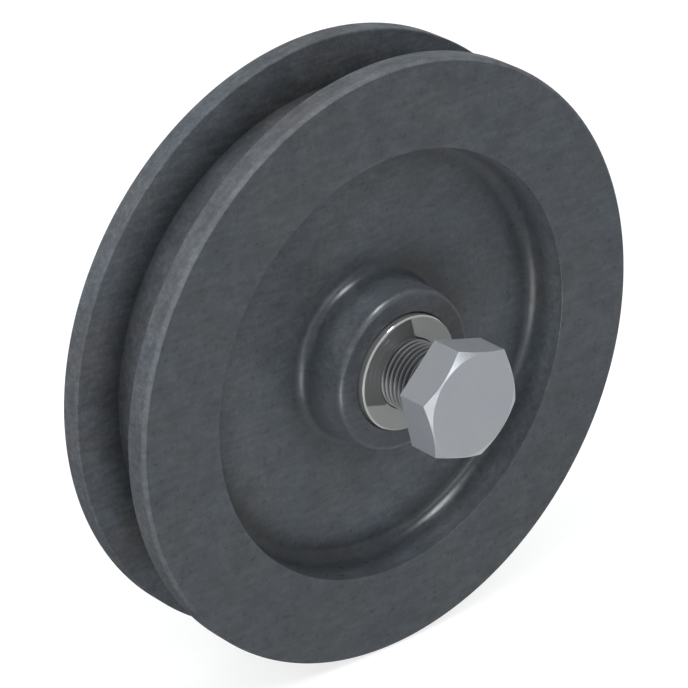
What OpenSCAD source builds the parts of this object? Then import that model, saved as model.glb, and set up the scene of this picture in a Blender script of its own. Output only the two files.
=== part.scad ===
// Sliding gate wheel: a cast iron wheel with a square rail groove.
// It turns on a steel sleeve, and a hex bolt and nut clamp the sleeve between
// the two side plates of a gate's frame.
// Millimetres. The axle lies along Y with the bolt's head towards -Y, Z is up,
// and the origin is the middle of the wheel.

/* [Rim] */
// Outer diameter of the wheel
wheel_d = 105; // [98:1:160]
// Width of the rim over both flanges
rim_w = 21; // [18:0.5:30]
// Width of the square groove that runs on the rail
groove_w = 13; // [8:0.5:15]
// Depth of the groove
groove_depth = 8.5; // [5:0.5:10]
// Fillet in the corners of the groove
groove_fillet = 0.3; // [0.2:0.1:2]
// Chamfer on the outer edges of the rim's faces
rim_chamfer = 0.6; // [0.2:0.1:1.2]
// Rounding of the groove's edges and of the recess's mouth
rim_edge_r = 0.3; // [0.2:0.1:0.8]

/* [Web and hub] */
// Diameter of the recess where it meets the face of the rim
recess_d = 74.7; // [62:0.1:80]
// Thickness of the web between the two recesses
web_t = 7; // [4:0.5:12]
// Fillet between the web and the rim
recess_fillet = 2.5; // [1:0.25:4]
// Diameter of the hub at its ends
hub_d = 28; // [25:0.5:40]
// Length of the hub from end to end
hub_len = 25; // [22:0.5:40]
// Fillet between the web and the hub
hub_fillet = 2; // [0.5:0.25:3]
// Rounding of the hub's ends
hub_edge_r = 1; // [0.3:0.1:1.5]
// Chamfer at the mouths of the hub's bore
bore_chamfer = 0.3; // [0.1:0.1:0.8]
// Casting draft of the recess and hub walls, in degrees
draft = 2; // [0.5:0.5:6]

/* [Axle sleeve] */
// Outer diameter of the sleeve that the wheel turns on
sleeve_d = 20; // [17:0.5:22]
// Clearance between the sleeve's bore and the bolt, on the radius
bolt_clearance = 0.1; // [0.05:0.05:1.5]
// How far each end of the sleeve stands out of the hub
sleeve_proud = 1.1; // [0.3:0.05:3]
// Chamfer on the outer edges of the sleeve's ends
sleeve_chamfer = 0.25; // [0.1:0.05:0.8]
// Chamfer at the mouths of the sleeve's bore
sleeve_bore_chamfer = 0.1; // [0.05:0.05:0.5]
// Running clearance between the hub and the sleeve, on the radius
running_clearance = 0.05; // [0.02:0.01:0.1]

/* [Bolt and nut] */
// Diameter of the bolt over its thread
bolt_d = 12; // [10:0.5:12.5]
// Room for a side plate between the sleeve and the bolt's head or the nut
plate_gap = 8.4; // [3:0.1:20]
// Length of thread that shows past the nut
thread_end = 5.2; // [2:0.2:20]
// Chamfer at the tip of the bolt
tip_chamfer = 0.9; // [0.3:0.1:1.5]
// Width across the flats of the head and of the nut
hex_af = 18; // [16.5:0.5:24]
// Height of the bolt's head over its washer face
head_h = 6.5; // [5:0.25:9]
// Thickness of the washer face under the head
washer_face_t = 0.5; // [0.2:0.1:0.8]
// How far the washer face lies inside the flats
washer_face_inset = 0.7; // [0.3:0.1:1.5]
// Fillet where the bolt's shank meets its head
shank_fillet = 0.4; // [0.1:0.1:0.8]
// Height of the nut
nut_h = 10.8; // [6:0.2:14]
// Clearance between the nut's bore and the bolt, on the radius
thread_clearance = 0.05; // [0.02:0.01:0.1]
// Countersink at the mouths of the nut's bore
nut_countersink = 0.6; // [0.2:0.1:1]
// How far the hex chamfers start inside the flats
hex_chamfer_inset = 0.25; // [0.1:0.05:0.8]
// Slope of the hex chamfers, in degrees
hex_chamfer_angle = 30; // [15:1:40]
// Turn of a corner of the head from level, in degrees
head_turn = 45; // [0:1:59]
// Turn of a corner of the nut from level, in degrees
nut_turn = 30; // [0:1:59]

/* [Hidden] */
$fn = 96;

cast_iron = [0.27, 0.285, 0.30];
ground_steel = [0.78, 0.78, 0.77];
zinc_steel = [0.62, 0.63, 0.65];

// Places along the axle, from the middle of the wheel
sleeve_end = hub_len / 2 + sleeve_proud;
seat = sleeve_end + plate_gap;
bolt_len = 2 * seat + nut_h + thread_end;

// Radii
hub_bore_r = sleeve_d / 2 + running_clearance;
sleeve_bore_r = bolt_d / 2 + bolt_clearance;
nut_bore_r = bolt_d / 2 + thread_clearance;
hex_corner_r = hex_af / 2 / cos(30);
hex_face_r = hex_af / 2 - hex_chamfer_inset;
washer_face_r = hex_af / 2 - washer_face_inset;

// Drop of the hex chamfer from its circle on the face to the corners
hex_chamfer_drop = (hex_corner_r - hex_face_r) * tan(hex_chamfer_angle);

// Unit vector from one point to another
function towards(from, to) = (to - from) / norm(to - from);

// Positive where an outline drawn anticlockwise turns outwards at a corner
function turn(before, corner, after) =
    cross(corner - before, after - corner);

// What a round of radius r adds to or takes off one corner of an outline
module corner_round(before, corner, after, r) {
    u = towards(corner, before);
    v = towards(corner, after);
    half_angle = acos(u * v) / 2;
    tangent = r / tan(half_angle);
    middle = corner + towards([0, 0], u + v) * r / sin(half_angle);
    difference() {
        polygon([corner, corner + u * tangent, middle, corner + v * tangent]);
        translate(middle) circle(r);
    }
}

// Anticlockwise outline whose corners each have a radius, with 0 for a sharp one
module rounded_outline(points, radii) {
    n = len(points);
    function before(i) = points[(i + n - 1) % n];
    function after(i) = points[(i + 1) % n];
    difference() {
        union() {
            polygon(points);
            for (i = [0 : n - 1])
                if (radii[i] > 0 && turn(before(i), points[i], after(i)) < 0)
                    corner_round(before(i), points[i], after(i), radii[i]);
        }
        for (i = [0 : n - 1])
            if (radii[i] > 0 && turn(before(i), points[i], after(i)) > 0)
                corner_round(before(i), points[i], after(i), radii[i]);
    }
}

// Turns what is drawn along Z so that it lies along Y, the axle
module along_axle() {
    rotate([-90, 0, 0]) children();
}

// Half of the wheel's section, as corners [radius, place along the axle, rounding]
// from the hub's bore at the front to the floor of the groove
function front_corners() =
    let (hub_end = -hub_len / 2)
    let (web_face = -web_t / 2)
    let (rim_face = -rim_w / 2)
    let (hub_foot_r = hub_d / 2 + (web_face - hub_end) * tan(draft))
    let (recess_foot_r = recess_d / 2 - (web_face - rim_face) * tan(draft))
    [
        [hub_bore_r, hub_end + bore_chamfer, 0],
        [hub_bore_r + bore_chamfer, hub_end, 0],
        [hub_d / 2, hub_end, hub_edge_r],
        [hub_foot_r, web_face, hub_fillet],
        [recess_foot_r, web_face, recess_fillet],
        [recess_d / 2, rim_face, rim_edge_r],
        [wheel_d / 2 - rim_chamfer, rim_face, 0],
        [wheel_d / 2, rim_face + rim_chamfer, 0],
        [wheel_d / 2, -groove_w / 2, rim_edge_r],
        [wheel_d / 2 - groove_depth, -groove_w / 2, groove_fillet]
    ];

// One casting, turned on the rim: two flanges, the groove, the web and the hub
module wheel() {
    front = front_corners();
    back = [for (i = [len(front) - 1 : -1 : 0]) [front[i].x, -front[i].y, front[i].z]];
    corners = concat(front, back);
    color(cast_iron)
        along_axle()
            rotate_extrude()
                rounded_outline([for (c = corners) [c.x, c.y]], [for (c = corners) c.z]);
}

// Steel tube that carries the wheel, a little longer than the hub
module axle_sleeve() {
    outer_r = sleeve_d / 2;
    front = [
        [sleeve_bore_r, sleeve_bore_chamfer - sleeve_end],
        [sleeve_bore_r + sleeve_bore_chamfer, -sleeve_end],
        [outer_r - sleeve_chamfer, -sleeve_end],
        [outer_r, sleeve_chamfer - sleeve_end]
    ];
    back = [for (i = [len(front) - 1 : -1 : 0]) [front[i].x, -front[i].y]];
    color(ground_steel)
        along_axle()
            rotate_extrude()
                polygon(concat(front, back));
}

// Hexagon that stands on Z = 0, with its top corners chamfered and, if asked, its bottom ones
module chamfered_hex(h, both_ends) {
    foot_r = both_ends ? hex_face_r : hex_corner_r;
    foot_drop = both_ends ? hex_chamfer_drop : 0;
    intersection() {
        cylinder(h = h, r = hex_corner_r, $fn = 6);
        rotate_extrude()
            polygon([
                [0, 0],
                [foot_r, 0],
                [hex_corner_r, foot_drop],
                [hex_corner_r, h - hex_chamfer_drop],
                [hex_face_r, h],
                [0, h]
            ]);
    }
}

// Round part of the bolt from the head's washer face, at Z = 0, to its tip
module bolt_shank() {
    r = bolt_d / 2;
    rotate_extrude()
        rounded_outline(
            [
                [0, -washer_face_t],
                [washer_face_r, -washer_face_t],
                [washer_face_r, 0],
                [r, 0],
                [r, bolt_len - tip_chamfer],
                [r - tip_chamfer, bolt_len],
                [0, bolt_len]
            ],
            [0, 0, 0, shank_fillet, 0, 0, 0]
        );
}

// Hex bolt, threaded all along, with its head at the front
module hex_bolt() {
    color(zinc_steel)
        along_axle()
            translate([0, 0, -seat]) {
                bolt_shank();
                translate([0, 0, -washer_face_t])
                    rotate([180, 0, head_turn])
                        chamfered_hex(head_h, false);
            }
}

// Nut at the back, as far from the sleeve as the bolt's head is
module hex_nut() {
    sunk_r = nut_bore_r + nut_countersink;
    color(zinc_steel)
        along_axle()
            translate([0, 0, seat])
                difference() {
                    rotate([0, 0, nut_turn])
                        chamfered_hex(nut_h, true);
                    rotate_extrude()
                        polygon([
                            [0, 0],
                            [sunk_r, 0],
                            [nut_bore_r, nut_countersink],
                            [nut_bore_r, nut_h - nut_countersink],
                            [sunk_r, nut_h],
                            [0, nut_h]
                        ]);
                }
}

wheel();
axle_sleeve();
hex_bolt();
hex_nut();
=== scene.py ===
"""Looks of a sliding gate wheel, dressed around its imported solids.

A cast iron wheel turns on a ground steel sleeve, and a plated hex bolt and nut clamp the sleeve.
Sizes are in millimetres, as on a drawing, and each finished mesh is scaled to metres. The axle
lies along Y with the bolt's head towards -Y, Z is up, and the origin is the middle of the wheel.
"""

from __future__ import annotations

import logging
import math
from collections.abc import Sequence
from dataclasses import dataclass, field, replace
from enum import Enum
from typing import Any, ClassVar

import bmesh
import bpy
from bmesh.types import BMEdge, BMesh, BMVert
from mathutils import Matrix, Vector


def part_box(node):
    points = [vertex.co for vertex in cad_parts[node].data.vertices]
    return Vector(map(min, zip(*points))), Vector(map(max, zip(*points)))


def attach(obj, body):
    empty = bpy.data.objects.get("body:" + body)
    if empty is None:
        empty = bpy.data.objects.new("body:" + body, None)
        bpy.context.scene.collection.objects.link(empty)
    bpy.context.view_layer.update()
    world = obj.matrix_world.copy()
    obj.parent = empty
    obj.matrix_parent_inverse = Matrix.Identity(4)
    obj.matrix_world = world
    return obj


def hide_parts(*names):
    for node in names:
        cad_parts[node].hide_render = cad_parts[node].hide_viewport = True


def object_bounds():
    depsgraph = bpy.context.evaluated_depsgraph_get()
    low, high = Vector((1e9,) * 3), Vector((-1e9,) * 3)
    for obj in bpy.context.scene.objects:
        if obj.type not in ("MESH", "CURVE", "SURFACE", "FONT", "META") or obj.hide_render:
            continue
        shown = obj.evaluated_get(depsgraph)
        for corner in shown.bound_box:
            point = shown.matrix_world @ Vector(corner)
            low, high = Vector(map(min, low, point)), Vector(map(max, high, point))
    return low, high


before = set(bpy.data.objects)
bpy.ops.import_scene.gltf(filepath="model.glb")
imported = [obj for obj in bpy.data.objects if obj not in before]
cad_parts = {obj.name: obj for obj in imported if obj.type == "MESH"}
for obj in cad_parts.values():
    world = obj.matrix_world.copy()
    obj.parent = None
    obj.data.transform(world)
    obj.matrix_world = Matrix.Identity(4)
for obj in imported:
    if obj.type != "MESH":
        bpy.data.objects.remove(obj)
CAD_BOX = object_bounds()

LOG = logging.getLogger("gate_wheel")

MM = 0.001
TOUCH = 1e-4
FULL_TURN = 2 * math.pi
AXLE = Vector((0.0, 1.0, 0.0))
CENTRE = Vector((0.0, 0.0, 0.0))
SHARP_ANGLE = math.radians(28)
THREAD_FINISH = 1
RIM_FINISH = 1

Triple = tuple[float, float, float]
Colour = Triple


class Body(Enum):
    """The bodies that a piece can ride on."""

    AXLE = "axle"
    WHEEL = "wheel"


class Slot(Enum):
    """The material slots that pieces name."""

    CAST_IRON = "cast_iron"
    GROUND_STEEL = "ground_steel"
    ZINC_STEEL = "zinc_steel"


class Shows(Enum):
    """Where a lamp's light shows."""

    AS_LIGHT = "as_light"
    AS_GLINT = "as_glint"


def extent(node: str) -> tuple[Vector, Vector]:
    """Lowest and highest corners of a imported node, in millimetres."""
    low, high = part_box(node)
    return low / MM, high / MM


def opaque(colour: Colour) -> tuple[float, ...]:
    """A colour with full alpha, as a node's socket takes it."""
    return (*colour, 1.0)


# Shader graphs


@dataclass(frozen=True)
class Value:
    """A node's output socket, so that shader maths reads as an expression."""

    graph: Graph
    socket: bpy.types.NodeSocket

    def __add__(self, other: Value | float) -> Value:
        """This value plus another."""
        return self.graph.math("ADD", self, other)

    def __radd__(self, other: float) -> Value:
        """A number plus this value."""
        return self.graph.math("ADD", other, self)

    def __sub__(self, other: Value | float) -> Value:
        """This value less another."""
        return self.graph.math("SUBTRACT", self, other)

    def __rsub__(self, other: float) -> Value:
        """A number less this value."""
        return self.graph.math("SUBTRACT", other, self)

    def __mul__(self, other: Value | float) -> Value:
        """This value times another."""
        return self.graph.math("MULTIPLY", self, other)

    def __rmul__(self, other: float) -> Value:
        """A number times this value."""
        return self.graph.math("MULTIPLY", other, self)

    def __pow__(self, other: float) -> Value:
        """This value raised to a power."""
        return self.graph.math("POWER", self, other)


class Graph:
    """A node tree that is written as Python calls and expressions."""

    def __init__(self, tree: bpy.types.NodeTree) -> None:
        """Empties a tree.

        Args:
            tree: The material's or world's node tree.
        """
        self.tree = tree
        tree.nodes.clear()

    @classmethod
    def of_material(cls, material: bpy.types.Material) -> Graph:
        """The emptied graph of a material."""
        material.use_nodes = True
        return cls(material.node_tree)

    def node(
        self,
        kind: str,
        settings: dict[str, Any] | None = None,
        sockets: dict[str, Any] | None = None,
    ) -> bpy.types.Node:
        """Adds one node.

        Args:
            kind: The node's type.
            settings: Its settings, such as an operation, which are set first.
            sockets: The value or link of each of its sockets, by the socket's name.

        Returns:
            The new node.
        """
        made = self.tree.nodes.new(kind)
        for key, value in (settings or {}).items():
            setattr(made, key, value)
        for key, value in (sockets or {}).items():
            target = next(s for s in made.inputs if s.enabled and s.name == key)
            if isinstance(value, Value):
                self.tree.links.new(value.socket, target)
            else:
                target.default_value = value
        return made

    def out(self, made: bpy.types.Node, name: str) -> Value:
        """An enabled output of a node, by its name."""
        return Value(self, next(s for s in made.outputs if s.enabled and s.name == name))

    def math(self, operation: str, first: Value | float, second: Value | float) -> Value:
        """Adds a Math node.

        Args:
            operation: What the node does.
            first: Its first value.
            second: Its second value.

        Returns:
            The result.
        """
        made = self.node("ShaderNodeMath", {"operation": operation})
        for target, value in zip(made.inputs, (first, second)):
            if isinstance(value, Value):
                self.tree.links.new(value.socket, target)
            else:
                target.default_value = value
        return self.out(made, "Value")

    def place(self) -> Value:
        """The point on the piece, in the piece's own coordinates."""
        return self.out(self.node("ShaderNodeTexCoord"), "Object")

    def about_axle(self, place: Value) -> tuple[Value, Value]:
        """Splits a place into its distance from the axle and from the middle of the wheel.

        Args:
            place: The point on the piece.

        Returns:
            The distance from the axle, and the distance along it on either side.
        """
        radius = self.distance(place, (1.0, 0.0, 1.0))
        along = self.out(self.node("ShaderNodeSeparateXYZ", None, {"Vector": place}), "Y")
        return radius, self.math("ABSOLUTE", along, 0.0)

    def distance(self, place: Value, axes: Triple) -> Value:
        """A place's distance from the origin, with nought for an axis that doesn't count."""
        flat = self.stretched(place, axes)
        length = self.node("ShaderNodeVectorMath", {"operation": "LENGTH"}, {"Vector": flat})
        return self.out(length, "Value")

    def stretched(self, place: Value, scale: Triple) -> Value:
        """A place with each axis scaled, so that a pattern runs along the short ones."""
        made = self.node("ShaderNodeMapping", None, {"Vector": place, "Scale": scale})
        return self.out(made, "Vector")

    def noise(self, place: Value, size: float, detail: float = 2.0, rough: float = 0.5) -> Value:
        """Adds soft noise.

        Args:
            place: Where on the piece.
            size: Size of its features, in millimetres.
            detail: How many finer layers it has.
            rough: How strong the finer layers are.

        Returns:
            A value about 0.5.
        """
        sockets = {"Vector": place, "Scale": 1 / (size * MM), "Detail": detail, "Roughness": rough}
        return self.out(self.node("ShaderNodeTexNoise", None, sockets), "Fac")

    def remap(self, value: Value, source: tuple[float, float], target: tuple[float, float]) -> Value:
        """Maps one range of a value to another and holds it there.

        Args:
            value: The value to map.
            source: The range it comes from.
            target: The range it goes to.

        Returns:
            The mapped value.
        """
        sockets = {
            "Value": value,
            "From Min": source[0],
            "From Max": source[1],
            "To Min": target[0],
            "To Max": target[1],
        }
        return self.out(self.node("ShaderNodeMapRange", {"clamp": True}, sockets), "Result")

    def mix(self, factor: Value, first: Colour, second: Colour) -> Value:
        """Mixes two colours.

        Args:
            factor: How much of the second colour.
            first: The first colour.
            second: The second colour.

        Returns:
            The mixed colour.
        """
        sockets = {"Factor": factor, "A": opaque(first), "B": opaque(second)}
        return self.out(self.node("ShaderNodeMix", {"data_type": "RGBA"}, sockets), "Result")

    def brightened(self, colour: Value | Colour, gain: Value) -> Value:
        """A colour times a value."""
        settings = {"operation": "SCALE"}
        made = self.node("ShaderNodeVectorMath", settings, {"Vector": colour, "Scale": gain})
        return self.out(made, "Vector")

    def bump(self, height: Value, depth: float) -> Value:
        """Adds relief.

        Args:
            height: The relief, from 0 to 1.
            depth: Its depth, in millimetres.

        Returns:
            The new normal.
        """
        sockets = {"Height": height, "Distance": depth * MM, "Strength": 1.0}
        return self.out(self.node("ShaderNodeBump", None, sockets), "Normal")

    def finish(self, kind: str, shader: bpy.types.Node) -> None:
        """Links a shader to the graph's output.

        Args:
            kind: The output's node type.
            shader: The node whose first output is the surface.
        """
        made = self.node(kind)
        self.tree.links.new(shader.outputs[0], made.inputs["Surface"])

    def principled(self, sockets: dict[str, Any]) -> None:
        """Ends a material's graph in one Principled shader with these sockets."""
        shader = self.node("ShaderNodeBsdfPrincipled", None, sockets)
        self.finish("ShaderNodeOutputMaterial", shader)

    def by_rays(self, lit: bpy.types.Node, seen: bpy.types.Node) -> bpy.types.Node:
        """Chooses between two shaders by the kind of ray.

        Args:
            lit: The shader that diffuse light meets.
            seen: The shader that the camera, reflections and refractions meet.

        Returns:
            The Mix Shader node.
        """
        chosen = self.node("ShaderNodeMixShader")
        self.tree.links.new(self.background_rays().socket, chosen.inputs[0])
        self.tree.links.new(lit.outputs[0], chosen.inputs[1])
        self.tree.links.new(seen.outputs[0], chosen.inputs[2])
        return chosen

    def background_rays(self) -> Value:
        """One where the camera, a reflection or a refraction looks, and nought for diffuse light."""
        rays = self.node("ShaderNodeLightPath")
        seen = self.out(rays, "Is Camera Ray")
        mirrored = self.out(rays, "Is Glossy Ray")
        refracted = self.out(rays, "Is Transmission Ray")
        return self.math("MAXIMUM", self.math("MAXIMUM", seen, mirrored), refracted)


# Finishes


@dataclass(frozen=True)
class Band:
    """A band round the axle where a finish is painted darker, as painted shade, or lighter, as
    painted light or a painted highlight.
    """

    radius: float
    along: float | None
    reach: float
    gain: float

    def factor(self, graph: Graph, radius: Value, along: Value) -> Value:
        """Works out how much lighter or darker the band makes a place.

        Args:
            graph: The finish's graph.
            radius: The place's distance from the axle.
            along: Its distance along the axle from the middle of the wheel.

        Returns:
            The band's gain at its middle, and 1 past its reach.
        """
        across = radius - self.radius * MM
        squared = across * across
        if self.along is not None:
            beside = along - self.along * MM
            squared = squared + beside * beside
        return graph.remap(squared**0.5, (0.0, self.reach * MM), (self.gain, 1.0))


# Painted shade: darker where the recess wall meets the web.
RECESS_FOOT_PAINTED_SHADE = Band(radius=36.3, along=4.0, reach=4.4, gain=0.5)
# Painted light: lighter along the middle of the recess wall.
RECESS_WALL_PAINTED_LIGHT = Band(radius=36.9, along=8.6, reach=2.2, gain=1.22)
# Painted light: lighter across the outer part of the web.
WEB_PAINTED_LIGHT = Band(radius=28.0, along=3.5, reach=13.0, gain=1.35)
# Painted shade: darker round the foot of the hub.
HUB_FOOT_PAINTED_SHADE = Band(radius=15.0, along=3.5, reach=5.0, gain=0.7)
# Painted light: lighter along the side of the hub.
HUB_SIDE_PAINTED_LIGHT = Band(radius=14.2, along=9.0, reach=4.0, gain=1.25)
# Painted shade: darker towards the corners at the foot of the groove.
GROOVE_CORNER_PAINTED_SHADE = Band(radius=44.0, along=6.5, reach=6.0, gain=0.4)
# Painted highlight: lighter along the rim's front chamfer.
RIM_CHAMFER_PAINTED_HIGHLIGHT = Band(radius=52.2, along=10.2, reach=0.75, gain=1.25)
# Painted highlight: a bright line along the sleeve's outer end edges.
SLEEVE_EDGE_PAINTED_HIGHLIGHT = Band(radius=9.9, along=13.5, reach=0.3, gain=2.2)
# Painted highlight: the thread's crests are painted lighter than its dark flanks and roots.
THREAD_CREST_PAINTED_HIGHLIGHT = Band(radius=6.0, along=None, reach=0.28, gain=3.6)


@dataclass(frozen=True)
class CastIron:
    """Dark satin casting: blue-grey, a little mottled, with a fine sand grain."""

    name: str = "cast_iron"
    gain: float = 1.13
    cool: Colour = (0.0507, 0.0578, 0.0665)
    warm: Colour = (0.0547, 0.0577, 0.0622)
    patch: float = 13.0
    blotch: float = 5.0
    streak: float = 0.9
    grain: float = 1.1
    speck: float = 0.4
    streak_light: tuple[float, float] = (0.91, 1.12)
    blotch_light: tuple[float, float] = (0.88, 1.12)
    grain_light: tuple[float, float] = (0.965, 1.14)
    speck_light: tuple[float, float] = (0.97, 1.12)
    roughness: tuple[float, float] = (0.27, 0.33)
    specular: float = 0.16
    ior: float = 1.5
    relief: float = 0.01
    # The bands paint shade round the recess foot and hub foot, and paint light on the recess wall,
    # the web and the hub side.
    bands: tuple[Band, ...] = (
        RECESS_FOOT_PAINTED_SHADE,
        RECESS_WALL_PAINTED_LIGHT,
        WEB_PAINTED_LIGHT,
        HUB_FOOT_PAINTED_SHADE,
        HUB_SIDE_PAINTED_LIGHT,
    )

    def material(self) -> bpy.types.Material:
        """Makes the casting's material."""
        made = bpy.data.materials.new(self.name)
        graph = Graph.of_material(made)
        place = graph.place()
        patches = graph.remap(graph.noise(place, self.patch, 3.0), (0.36, 0.64), (0.0, 1.0))
        streaks = graph.noise(graph.stretched(place, (0.22, 1.0, 1.0)), self.streak, 1.0)
        blotches = graph.noise(place, self.blotch, 2.0)
        grain = graph.noise(place, self.grain, 2.0)
        specks = graph.noise(place, self.speck, 0.0)
        tint = graph.mix(patches, self.cool, self.warm)
        light = graph.remap(streaks, (0.34, 0.7), self.streak_light) * self.gain
        light = light * graph.remap(blotches, (0.3, 0.7), self.blotch_light)
        light = light * graph.remap(grain, (0.42, 0.72), self.grain_light)
        light = light * graph.remap(specks, (0.42, 0.74), self.speck_light)
        radius, along = graph.about_axle(place)
        # Painted shade and painted light from the bands.
        for band in self.bands:
            light = light * band.factor(graph, radius, along)
        relief = graph.bump(grain * 0.7 + specks * 0.3, self.relief)
        sockets = {
            "Base Color": graph.brightened(tint, light),
            "Roughness": graph.remap(grain, (0.3, 0.7), self.roughness),
            "Specular IOR Level": self.specular,
            "IOR": self.ior,
            "Normal": relief,
        }
        graph.principled(sockets)
        return made


@dataclass(frozen=True)
class ZincSteel:
    """Zinc plated steel: even, satin, a little blue."""

    name: str = "zinc_steel"
    grey: Colour = (0.288, 0.296, 0.306)
    blue: Colour = (0.278, 0.29, 0.316)
    cloud: float = 7.0
    grain: float = 0.25
    metallic: float = 0.25
    roughness: tuple[float, float] = (0.27, 0.33)
    relief: float = 0.003

    def material(self) -> bpy.types.Material:
        """Makes the plating's material."""
        made = bpy.data.materials.new(self.name)
        graph = Graph.of_material(made)
        place = graph.place()
        clouds = graph.remap(graph.noise(place, self.cloud, 2.0), (0.35, 0.65), (0.0, 1.0))
        grain = graph.noise(place, self.grain, 3.0, 0.6)
        tint = graph.mix(clouds, self.grey, self.blue)
        light = graph.remap(grain, (0.25, 0.75), (0.97, 1.03))
        sockets = {
            "Base Color": graph.brightened(tint, light),
            "Metallic": self.metallic,
            "Roughness": graph.remap(grain, (0.3, 0.7), self.roughness),
            "Normal": graph.bump(grain, self.relief),
        }
        graph.principled(sockets)
        return made


@dataclass(frozen=True)
class TurnedSteel:
    """Steel turned on a lathe, with faint rings about the axle."""

    name: str
    grey: Colour
    metallic: float
    roughness: tuple[float, float]
    # Bands that paint highlights onto the steel, such as on its edges or its thread's crests.
    bands: tuple[Band, ...] = ()
    ring: float = 0.12
    relief: float = 0.0006

    def material(self) -> bpy.types.Material:
        """Makes the turned steel's material."""
        made = bpy.data.materials.new(self.name)
        graph = Graph.of_material(made)
        place = graph.place()
        radius, along = graph.about_axle(place)
        ring_place = graph.out(
            graph.node("ShaderNodeCombineXYZ", None, {"X": radius, "Y": along}), "Vector"
        )
        rings = graph.noise(ring_place, self.ring, 3.0, 0.6)
        gain = graph.remap(rings, (0.3, 0.7), (0.94, 1.06))
        for band in self.bands:
            gain = gain * band.factor(graph, radius, along)
        sockets = {
            "Base Color": graph.brightened(self.grey, gain),
            "Metallic": self.metallic,
            "Roughness": graph.remap(rings, (0.3, 0.7), self.roughness),
            "Normal": graph.bump(rings, self.relief),
        }
        graph.principled(sockets)
        return made


@dataclass(frozen=True)
class PaleFloor:
    """Matt white floor that looks white to the camera and keeps a soft shadow."""

    name: str = "pale_floor"
    colour: Colour = (0.3, 0.3, 0.3)
    glow: float = 0.78
    fade: tuple[float, float] = (450.0, 1300.0)

    def material(self) -> bpy.types.Material:
        """Makes the floor's material."""
        made = bpy.data.materials.new(self.name)
        graph = Graph.of_material(made)
        plain = graph.node("ShaderNodeBsdfDiffuse", None, {"Color": opaque(self.colour)})
        away = graph.distance(graph.place(), (1.0, 1.0, 0.0))
        reach = (self.fade[0] * MM, self.fade[1] * MM)
        white = graph.remap(away, reach, (self.glow, 1.0))
        tint = graph.brightened((1.0, 1.0, 1.0), white)
        glow = graph.node("ShaderNodeEmission", None, {"Color": tint})
        lifted = graph.node("ShaderNodeAddShader")
        graph.tree.links.new(plain.outputs[0], lifted.inputs[0])
        graph.tree.links.new(glow.outputs[0], lifted.inputs[1])
        graph.finish("ShaderNodeOutputMaterial", graph.by_rays(plain, lifted))
        return made


# The turned rim is duller than the casting, and its colour is a lighter copy of the casting's. This
# paints light on the lands and chamfers, paints shade in the groove corners and paints a highlight
# on the chamfer.
TURNED_RIM_PAINTED_LIGHT = CastIron(
    name="turned_rim_painted_light",
    gain=1.85,
    cool=(0.0507, 0.0557, 0.0621),
    warm=(0.0547, 0.0556, 0.0581),
    roughness=(0.5, 0.6),
    specular=0.04,
    ior=1.12,
    bands=(GROOVE_CORNER_PAINTED_SHADE, RIM_CHAMFER_PAINTED_HIGHLIGHT),
)
# The sleeve's outer end edges carry a painted highlight.
GROUND_STEEL = TurnedSteel(
    name="ground_steel",
    grey=(0.178, 0.179, 0.177),
    metallic=0.52,
    roughness=(0.03, 0.05),
    bands=(SLEEVE_EDGE_PAINTED_HIGHLIGHT,),
)
# The thread's crests carry a painted highlight.
THREAD_STEEL = TurnedSteel(
    name="thread_steel",
    grey=(0.05, 0.051, 0.053),
    metallic=0.5,
    roughness=(0.28, 0.36),
    bands=(THREAD_CREST_PAINTED_HIGHLIGHT,),
)


# Turning, cutting and joining


@dataclass(frozen=True)
class Corner:
    """One corner of a turned section: radius, place along the axle, and rounding."""

    radius: float
    along: float
    rounding: float = 0.0
    segments: int = 6

    def mirrored(self) -> Corner:
        """The same corner at the other end of the axle."""
        return replace(self, along=-self.along)


@dataclass(frozen=True)
class Lathe:
    """Turns a section about the axle."""

    steps: int = 192
    hold: float = 0.1

    def turn(self, section: Sequence[Corner], closed: bool) -> BMesh:
        """Turns a section.

        Args:
            section: The section's corners, in order.
            closed: Whether the last corner joins the first.

        Returns:
            The turned mesh, in millimetres.
        """
        bm = bmesh.new()
        verts = [bm.verts.new((c.radius, c.along, 0.0)) for c in section]
        ends = verts[1:] + verts[:1] if closed else verts[1:]
        for pair in zip(verts, ends):
            bm.edges.new(pair)
        for vert, corner in zip(verts, section):
            if corner.rounding > 0:
                self._round(bm, vert, corner)
        self._hold(bm)
        bmesh.ops.spin(
            bm,
            geom=bm.verts[:] + bm.edges[:],
            cent=CENTRE,
            axis=AXLE,
            angle=FULL_TURN,
            steps=self.steps,
            use_merge=True,
        )
        close(bm)
        return bm

    @staticmethod
    def _round(bm: BMesh, vert: BMVert, corner: Corner) -> None:
        """Rounds one corner of the section by an arc."""
        before, after = (edge.other_vert(vert).co - vert.co for edge in vert.link_edges)
        tangent = corner.rounding / math.tan(before.angle(after) / 2)
        bmesh.ops.bevel(
            bm,
            geom=[vert],
            offset=tangent,
            offset_type="OFFSET",
            segments=corner.segments,
            profile=0.5,
            affect="VERTICES",
            material=-1,
        )

    def _hold(self, bm: BMesh) -> None:
        """Adds a loop close to both ends of each long edge, so that flats shade flat."""
        for edge in [e for e in bm.edges if e.calc_length() > 6 * self.hold]:
            start, end = edge.verts
            share = self.hold / edge.calc_length()
            near = bmesh.utils.edge_split(edge, start, share)[1]
            rest = bm.edges.get((near, end))
            bmesh.utils.edge_split(rest, end, share / (1 - share))


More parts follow.
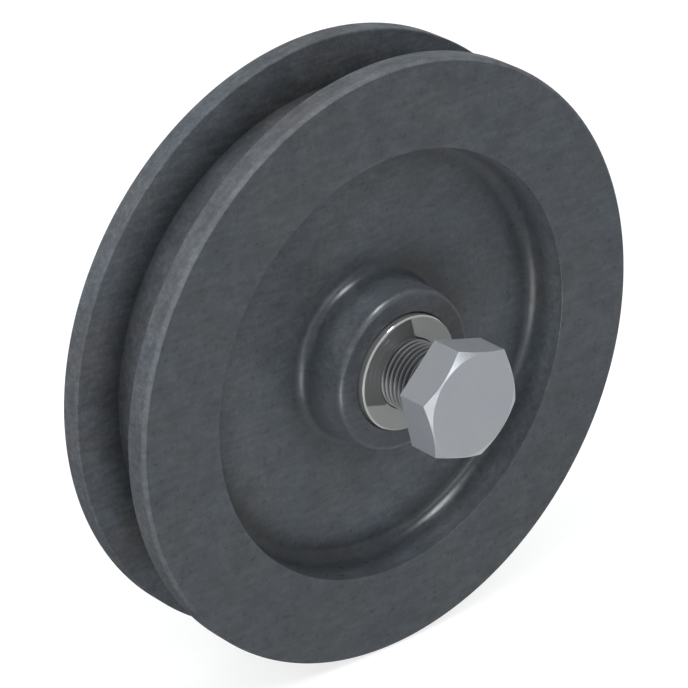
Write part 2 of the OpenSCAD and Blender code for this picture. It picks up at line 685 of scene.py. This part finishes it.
@dataclass(frozen=True)
class Thread:
    """A screw thread about the axle, right-handed, that starts at whole turns."""

    pitch: float = 1.0
    depth: float = 0.6
    crest_share: float = 0.14
    root_share: float = 0.22
    steps: int = 72

    def sweep(self, radius: float, start: float, end: float) -> BMesh:
        """Sweeps one tooth along its helix, past both ends.

        Args:
            radius: Radius of the crests.
            start: Where the thread has to start, along the axle.
            end: Where it has to end.

        Returns:
            The thread's open surface, in millimetres.
        """
        crest = self.pitch * self.crest_share
        root = self.pitch * self.root_share
        flank = (self.pitch - crest - root) / 2
        floor = radius - self.depth
        tooth = (
            (radius, 0.0),
            (radius, crest),
            (floor, crest + flank),
            (floor, crest + flank + root),
            (radius, self.pitch),
        )
        first = (math.floor(start / self.pitch) - 2) * self.pitch
        turns = math.ceil((end - first) / self.pitch) + 1
        bm = bmesh.new()
        verts = [bm.verts.new((r, first + along, 0.0)) for r, along in tooth]
        edges = [bm.edges.new(pair) for pair in zip(verts, verts[1:])]
        bmesh.ops.spin(
            bm,
            geom=verts + edges,
            cent=CENTRE,
            axis=AXLE,
            dvec=AXLE * (self.pitch / self.steps),
            angle=FULL_TURN,
            steps=self.steps,
        )
        one_turn = bm.verts[:] + bm.edges[:] + bm.faces[:]
        for turn in range(1, turns):
            copied = bmesh.ops.duplicate(bm, geom=one_turn)["geom"]
            moved = [v for v in copied if isinstance(v, BMVert)]
            bmesh.ops.translate(bm, vec=AXLE * (self.pitch * turn), verts=moved)
        bmesh.ops.remove_doubles(bm, verts=bm.verts[:], dist=10 * TOUCH)
        for face in bm.faces:
            face.material_index = THREAD_FINISH
        return bm


@dataclass(frozen=True)
class Hexagon:
    """Six flats about the axle, and the chamfer that takes off their corners."""

    across_flats: float
    turn: float
    chamfer_inset: float = 0.25
    chamfer_angle: float = math.radians(30)
    edge_rounding: float = 0.12

    @property
    def corner_radius(self) -> float:
        """Radius of the corners."""
        return self.across_flats / 2 / math.cos(math.pi / 6)

    @property
    def blank_radius(self) -> float:
        """Radius of the turned blank, which clears the corners."""
        return self.corner_radius + self.chamfer_inset

    @property
    def face_radius(self) -> float:
        """Radius of the circle where the chamfer meets an end face."""
        return self.across_flats / 2 - self.chamfer_inset

    @property
    def chamfer_drop(self) -> float:
        """Drop of the chamfer from an end face to the side of the blank."""
        return (self.blank_radius - self.face_radius) * math.tan(self.chamfer_angle)

    def cut(self, bm: BMesh) -> None:
        """Cuts a turned blank to the six flats and eases the edges between them."""
        for side in range(6):
            angle = math.radians(self.turn + 30 + 60 * side)
            outwards = Vector((math.cos(angle), 0.0, math.sin(angle)))
            cut = bmesh.ops.bisect_plane(
                bm,
                geom=bm.verts[:] + bm.edges[:] + bm.faces[:],
                dist=TOUCH,
                plane_co=outwards * self.across_flats / 2,
                plane_no=outwards,
                clear_outer=True,
            )
            rim = [e for e in cut["geom_cut"] if isinstance(e, BMEdge)]
            bmesh.ops.edgeloop_fill(bm, edges=rim)
        close(bm)
        bmesh.ops.bevel(
            bm,
            geom=[e for e in bm.edges if self._is_corner(e)],
            offset=self.edge_rounding,
            offset_type="OFFSET",
            segments=3,
            profile=0.5,
            affect="EDGES",
            material=-1,
        )

    def _is_corner(self, edge: BMEdge) -> bool:
        """Whether an edge lies along the axle where two flats meet."""
        run = edge.verts[1].co - edge.verts[0].co
        out = Vector((edge.verts[0].co.x, edge.verts[0].co.z)).length
        return abs(run.y) > 0.999 * run.length and abs(out - self.corner_radius) < 0.01


def close(bm: BMesh) -> None:
    """Welds a mesh's seams and turns its faces outwards."""
    bmesh.ops.remove_doubles(bm, verts=bm.verts[:], dist=TOUCH)
    bmesh.ops.recalc_face_normals(bm, faces=bm.faces[:])


def slice_off(bm: BMesh, along: float, side: float) -> None:
    """Cuts a mesh square to the axle.

    Args:
        bm: The mesh.
        along: Where the cut is.
        side: Which side is thrown away, 1 towards the tip and -1 towards the head.
    """
    bmesh.ops.bisect_plane(
        bm,
        geom=bm.verts[:] + bm.edges[:] + bm.faces[:],
        dist=TOUCH,
        plane_co=AXLE * along,
        plane_no=AXLE * side,
        clear_outer=True,
    )


def rim_at(bm: BMesh, along: float) -> list[BMEdge]:
    """The open edges that lie at one place along the axle."""
    return [
        edge
        for edge in bm.edges
        if edge.is_boundary and all(abs(v.co.y - along) < 10 * TOUCH for v in edge.verts)
    ]


def join(target: BMesh, source: BMesh) -> None:
    """Moves the second mesh's geometry into the first."""
    carrier = bpy.data.meshes.new("carrier")
    source.to_mesh(carrier)
    source.free()
    target.from_mesh(carrier)
    bpy.data.meshes.remove(carrier)


def radius_of(vert: BMVert) -> float:
    """A vertex's distance from the axle."""
    return math.hypot(vert.co.x, vert.co.z)


def set_radius(vert: BMVert, radius: float) -> None:
    """Moves a vertex straight out from the axle, or in, to a radius."""
    share = radius / radius_of(vert)
    vert.co.x *= share
    vert.co.z *= share


def shade(bm: BMesh) -> None:
    """Shades curves smooth, flats flat, and keeps the sharp edges."""
    for face in bm.faces:
        face.smooth = True
    for edge in bm.edges:
        edge.smooth = not edge.is_manifold or edge.calc_face_angle() < SHARP_ANGLE


# Pieces


@dataclass
class Piece:
    """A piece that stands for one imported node."""

    NAME: ClassVar[str]
    NODE: ClassVar[str]
    BODY: ClassVar[Body]
    SLOT: ClassVar[Slot]

    def build(self) -> BMesh:
        """Makes the piece's mesh, in millimetres."""
        raise NotImplementedError

    def make(self, finishes: Sequence[bpy.types.Material]) -> bpy.types.Object:
        """Builds and dresses the piece and sets it on its body.

        Args:
            finishes: Its main finish, and then that of its thread or turned rim, if it has one.

        Returns:
            The finished object.
        """
        bm = self.build()
        shade(bm)
        bmesh.ops.scale(bm, vec=(MM, MM, MM), verts=bm.verts[:])
        mesh = bpy.data.meshes.new(self.NAME)
        bm.to_mesh(mesh)
        bm.free()
        for finish in finishes:
            mesh.materials.append(finish)
        made = bpy.data.objects.new(self.NAME, mesh)
        bpy.context.scene.collection.objects.link(made)
        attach(made, self.BODY.value)
        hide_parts(self.NODE)
        return made


@dataclass
class CastWheel(Piece):
    """One casting, turned on its rim: two flanges, a groove, a web and a hub."""

    NAME: ClassVar[str] = "wheel_casting"
    NODE: ClassVar[str] = "wheel"
    BODY: ClassVar[Body] = Body.WHEEL
    SLOT: ClassVar[Slot] = Slot.CAST_IRON

    rim_width: float = 21.0
    groove_width: float = 13.0
    groove_depth: float = 8.5
    groove_fillet: float = 0.3
    rim_chamfer: float = 0.6
    rim_edge: float = 0.3
    mouth_edge: float = 0.12
    chamfer_edge: float = 0.08
    recess_radius: float = 37.35
    web: float = 7.0
    recess_fillet: float = 2.5
    hub_radius: float = 14.0
    hub_fillet: float = 2.0
    hub_edge: float = 1.0
    bore_radius: float = 10.05
    bore_chamfer: float = 0.3
    draft: float = math.radians(2)
    radius: float = field(init=False)
    hub_end: float = field(init=False)

    def __post_init__(self) -> None:
        """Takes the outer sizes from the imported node."""
        low, high = extent(self.NODE)
        self.radius = (high.x - low.x) / 2
        self.hub_end = low.y

    def section(self) -> list[Corner]:
        """The casting's whole section, from the front of the hub's bore round to the back."""
        rim_face = -self.rim_width / 2
        web_face = -self.web / 2
        groove_wall = -self.groove_width / 2
        hub_foot = self.hub_radius + (web_face - self.hub_end) * math.tan(self.draft)
        recess_foot = self.recess_radius - (web_face - rim_face) * math.tan(self.draft)
        front = [
            Corner(self.bore_radius, self.hub_end + self.bore_chamfer),
            Corner(self.bore_radius + self.bore_chamfer, self.hub_end),
            Corner(self.hub_radius, self.hub_end, self.hub_edge),
            Corner(hub_foot, web_face, self.hub_fillet, 10),
            Corner(recess_foot, web_face, self.recess_fillet, 12),
            Corner(self.recess_radius, rim_face, self.mouth_edge, 3),
            Corner(self.radius - self.rim_chamfer, rim_face, self.chamfer_edge, 2),
            Corner(self.radius, rim_face + self.rim_chamfer, self.chamfer_edge, 2),
            Corner(self.radius, groove_wall, self.rim_edge, 5),
            Corner(self.radius - self.groove_depth, groove_wall, self.groove_fillet),
        ]
        return front + [corner.mirrored() for corner in reversed(front)]

    def build(self) -> BMesh:
        """Turns the casting and gives the rim's turned faces their own finish, which is duller and
        painted lighter.
        """
        bm = Lathe(steps=240).turn(self.section(), closed=True)
        for face in bm.faces:
            if all(self._is_turned(vert) for vert in face.verts):
                face.material_index = RIM_FINISH
        return bm

    def _is_turned(self, vert: BMVert) -> bool:
        """Whether a vertex lies on the lands, the chamfers or the groove, which are turned."""
        out = radius_of(vert)
        in_groove = abs(vert.co.y) < self.groove_width / 2 + TOUCH
        groove_floor = self.radius - self.groove_depth
        chamfer_foot = self.radius - self.rim_chamfer
        return out > chamfer_foot - TOUCH or (in_groove and out > groove_floor - TOUCH)


@dataclass
class TurnedSleeve(Piece):
    """Steel tube that carries the wheel, chamfered at both ends."""

    NAME: ClassVar[str] = "sleeve_turned"
    NODE: ClassVar[str] = "axle_sleeve"
    BODY: ClassVar[Body] = Body.AXLE
    SLOT: ClassVar[Slot] = Slot.GROUND_STEEL

    bore_radius: float = 6.1
    chamfer: float = 0.25
    bore_chamfer: float = 0.1
    edge: float = 0.04
    radius: float = field(init=False)
    end: float = field(init=False)

    def __post_init__(self) -> None:
        """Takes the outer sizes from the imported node."""
        low, high = extent(self.NODE)
        self.radius = (high.x - low.x) / 2
        self.end = low.y

    def section(self) -> list[Corner]:
        """The tube's whole section."""
        front = [
            Corner(self.bore_radius, self.end + self.bore_chamfer),
            Corner(self.bore_radius + self.bore_chamfer, self.end),
            Corner(self.radius - self.chamfer, self.end, self.edge, 2),
            Corner(self.radius, self.end + self.chamfer, self.edge, 2),
        ]
        return front + [corner.mirrored() for corner in reversed(front)]

    def build(self) -> BMesh:
        """Turns the tube."""
        return Lathe(steps=160, hold=0.04).turn(self.section(), closed=True)


@dataclass
class HexBolt(Piece):
    """Plated bolt, threaded all along, with a chamfered hex head and a washer face."""

    NAME: ClassVar[str] = "bolt_plated"
    NODE: ClassVar[str] = "hex_bolt"
    BODY: ClassVar[Body] = Body.AXLE
    SLOT: ClassVar[Slot] = Slot.ZINC_STEEL

    radius: float = 6.0
    hexagon: Hexagon = Hexagon(across_flats=18.0, turn=45.0)
    head_height: float = 6.5
    washer_face: float = 0.5
    washer_inset: float = 0.7
    shank_fillet: float = 0.4
    neck: float = 0.6
    run_out: float = 0.8
    seam: float = 0.05
    tip_chamfer: float = 0.9
    thread: Thread = Thread()
    front: float = field(init=False)
    tip: float = field(init=False)

    def __post_init__(self) -> None:
        """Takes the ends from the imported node."""
        low, high = extent(self.NODE)
        self.front = low.y
        self.tip = high.y

    def build(self) -> BMesh:
        """Turns the head, cuts its flats, and joins the threaded shank to it."""
        blank_radius = self.hexagon.blank_radius
        washer_radius = self.hexagon.across_flats / 2 - self.washer_inset
        foot = self.front + self.head_height
        seat = foot + self.washer_face
        neck_end = seat + self.neck
        head = Lathe(steps=144).turn(
            [
                Corner(self.radius, neck_end),
                Corner(self.radius, seat, self.shank_fillet),
                Corner(washer_radius, seat),
                Corner(washer_radius, foot),
                Corner(blank_radius, foot),
                Corner(blank_radius, self.front + self.hexagon.chamfer_drop),
                Corner(self.hexagon.face_radius, self.front),
            ],
            closed=False,
        )
        self.hexagon.cut(head)
        bmesh.ops.edgeloop_fill(head, edges=rim_at(head, self.front))
        start = neck_end + self.seam
        join(head, self._shank(start))
        bmesh.ops.bridge_loops(head, edges=rim_at(head, neck_end) + rim_at(head, start))
        bmesh.ops.edgeloop_fill(head, edges=rim_at(head, self.tip))
        close(head)
        return head

    def _shank(self, start: float) -> BMesh:
        """The threaded shank, run out at the head and chamfered at the tip."""
        bm = self.thread.sweep(self.radius, start, self.tip)
        for vert in bm.verts:
            root = self.radius - (vert.co.y - start) * self.thread.depth / self.run_out
            cone = self.radius - self.tip_chamfer + self.tip - vert.co.y
            limit = min(self.radius, max(radius_of(vert), root))
            set_radius(vert, min(limit, cone))
        slice_off(bm, start, -1)
        slice_off(bm, self.tip, 1)
        return bm


@dataclass
class HexNut(Piece):
    """Plated nut, chamfered at both ends, with its thread cut and countersunk."""

    NAME: ClassVar[str] = "nut_plated"
    NODE: ClassVar[str] = "hex_nut"
    BODY: ClassVar[Body] = Body.AXLE
    SLOT: ClassVar[Slot] = Slot.ZINC_STEEL

    thread_radius: float = 6.05
    hexagon: Hexagon = Hexagon(across_flats=18.0, turn=30.0)
    countersink: float = 0.6
    mouth: float = 0.1
    thread: Thread = Thread()
    seat: float = field(init=False)
    end: float = field(init=False)

    def __post_init__(self) -> None:
        """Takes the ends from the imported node."""
        low, high = extent(self.NODE)
        self.seat = low.y
        self.end = high.y

    def build(self) -> BMesh:
        """Turns the blank, cuts its flats, and sets the thread in its bore."""
        blank_radius = self.hexagon.blank_radius
        face_radius = self.hexagon.face_radius
        drop = self.hexagon.chamfer_drop
        mouth_radius = self.thread_radius + self.countersink + self.mouth
        nut = Lathe(steps=144).turn(
            [
                Corner(mouth_radius, self.seat),
                Corner(face_radius, self.seat),
                Corner(blank_radius, self.seat + drop),
                Corner(blank_radius, self.end - drop),
                Corner(face_radius, self.end),
                Corner(mouth_radius, self.end),
            ],
            closed=False,
        )
        self.hexagon.cut(nut)
        join(nut, self._bore())
        for place in (self.seat, self.end):
            bmesh.ops.bridge_loops(nut, edges=rim_at(nut, place))
        close(nut)
        return nut

    def _bore(self) -> BMesh:
        """The thread in the nut's bore, opened by a countersink at each mouth."""
        bm = self.thread.sweep(self.thread_radius, self.seat, self.end)
        for vert in bm.verts:
            inside = min(vert.co.y - self.seat, self.end - vert.co.y)
            cone = self.thread_radius + self.countersink - inside
            set_radius(vert, max(radius_of(vert), cone))
        slice_off(bm, self.seat, -1)
        slice_off(bm, self.end, 1)
        return bm


# Studio


@dataclass(frozen=True)
class Softbox:
    """A soft lamp that looks at the wheel, with its light given as a plain level."""

    name: str
    direction: Triple
    distance: float
    width: float
    height: float
    level: float
    shows: Shows = Shows.AS_LIGHT
    tint: Colour = (0.96, 0.985, 1.0)

    def place(self) -> None:
        """Hangs the lamp."""
        lamp = bpy.data.lights.new(self.name, "AREA")
        lamp.shape = "RECTANGLE"
        lamp.size = self.width * MM
        lamp.size_y = self.height * MM
        lamp.energy = self.level * (math.pi * self.distance * MM) ** 2
        lamp.color = self.tint
        made = bpy.data.objects.new(self.name, lamp)
        towards = Vector(self.direction).normalized()
        made.location = towards * self.distance * MM
        made.rotation_euler = towards.to_track_quat("Z", "Y").to_euler()
        made.visible_camera = False
        made.visible_diffuse = self.shows is Shows.AS_LIGHT
        made.visible_glossy = self.shows is Shows.AS_GLINT
        bpy.context.scene.collection.objects.link(made)


@dataclass(frozen=True)
class Studio:
    """A pale floor under soft light, with a white background."""

    floor_radius: float = 3000.0
    ambient: Colour = (0.05, 0.052, 0.055)
    lamps: tuple[Softbox, ...] = (
        Softbox("above", (-0.1, -0.3, 0.95), 700.0, 1300.0, 400.0, 0.67),
        Softbox("upper_right", (0.45, -0.35, 0.82), 700.0, 500.0, 500.0, 0.28),
        Softbox("upper_left", (-0.75, -0.15, 0.62), 700.0, 480.0, 480.0, 0.72),
        Softbox("front_left", (-0.6, -0.78, 0.06), 700.0, 500.0, 500.0, 0.16),
        Softbox("low_left", (-0.52, -0.78, -0.3), 500.0, 360.0, 260.0, 0.98),
        Softbox("behind", (0.75, 0.65, 0.15), 800.0, 600.0, 600.0, 1.2),
        Softbox("above_glint", (0.0, -0.3, 0.95), 700.0, 130.0, 500.0, 3.2, Shows.AS_GLINT),
        Softbox("low_glint", (-0.59, -0.69, -0.41), 500.0, 220.0, 120.0, 1.5, Shows.AS_GLINT),
        Softbox("corner_glint", (-0.31, -0.93, -0.16), 600.0, 170.0, 170.0, 0.35, Shows.AS_GLINT),
        Softbox("front_glint", (0.1, -0.94, 0.33), 600.0, 260.0, 160.0, 0.3, Shows.AS_GLINT),
        Softbox("foot_glint", (0.13, -0.44, -0.89), 500.0, 200.0, 200.0, 0.5, Shows.AS_GLINT),
    )

    def build(self) -> None:
        """Sets up the floor, the lamps, the world and the view."""
        self._floor()
        self._world()
        for lamp in self.lamps:
            lamp.place()
        bpy.context.scene.view_settings.view_transform = "Standard"

    def _floor(self) -> None:
        """Lays the floor under the wheel."""
        bm = bmesh.new()
        level = Matrix.Translation((0.0, 0.0, CAD_BOX[0].z))
        bmesh.ops.create_circle(
            bm, cap_ends=True, segments=64, radius=self.floor_radius * MM, matrix=level
        )
        mesh = bpy.data.meshes.new("floor")
        bm.to_mesh(mesh)
        bm.free()
        mesh.materials.append(PaleFloor().material())
        made = bpy.data.objects.new("floor", mesh)
        made.visible_shadow = False
        bpy.context.scene.collection.objects.link(made)

    def _world(self) -> None:
        """Makes the world white to look at, and plain grey light for the rest."""
        world = bpy.data.worlds.new("studio")
        bpy.context.scene.world = world
        world.use_nodes = True
        graph = Graph(world.node_tree)
        light = graph.node("ShaderNodeBackground", None, {"Color": opaque(self.ambient)})
        white = graph.node("ShaderNodeBackground", None, {"Color": opaque((1.0, 1.0, 1.0))})
        graph.finish("ShaderNodeOutputWorld", graph.by_rays(light, white))


@dataclass(frozen=True)
class PhotoCamera:
    """The camera at the photograph's viewing angle, with its places in pixels of that frame."""

    azimuth: float = math.radians(-40.859)
    elevation: float = math.radians(25.710)
    distance: float = 615.19
    focal_px: float = 3725.52
    frame_px: float = 688.0
    centre_px: tuple[float, float] = (354.748, 345.895)
    sensor: float = 36.0

    def place(self) -> None:
        """Sets up the scene's camera."""
        turn, rise = self.azimuth, self.elevation
        level = math.cos(rise)
        back = Vector((math.sin(turn) * level, -math.cos(turn) * level, math.sin(rise)))
        right = Vector((math.cos(turn), math.sin(turn), 0.0))
        up = back.cross(right)
        size_of_px = self.distance / self.focal_px
        aside = (self.frame_px / 2 - self.centre_px[0]) * size_of_px
        above = (self.centre_px[1] - self.frame_px / 2) * size_of_px
        data = bpy.data.cameras.new("photo_camera")
        data.sensor_width = self.sensor
        data.lens = self.focal_px / self.frame_px * self.sensor
        made = bpy.data.objects.new("photo_camera", data)
        made.location = (back * self.distance + right * aside + up * above) * MM
        made.rotation_euler = back.to_track_quat("Z", "Y").to_euler()
        bpy.context.scene.collection.objects.link(made)
        bpy.context.scene.camera = made


def main() -> None:
    """Builds the studio and every piece."""
    logging.basicConfig(level=logging.INFO, format="%(name)s: %(message)s")
    PhotoCamera().place()
    Studio().build()
    casting = (CastIron().material(), TURNED_RIM_PAINTED_LIGHT.material())
    plated = (ZincSteel().material(), THREAD_STEEL.material())
    work = (
        (CastWheel(), casting),
        (TurnedSleeve(), (GROUND_STEEL.material(),)),
        (HexBolt(), plated),
        (HexNut(), plated),
    )
    for piece, finishes in work:
        made = piece.make(finishes)
        LOG.info("%s: %d faces, rides on %s", made.name, len(made.data.polygons), piece.BODY.value)


if __name__ == "__main__":
    main()
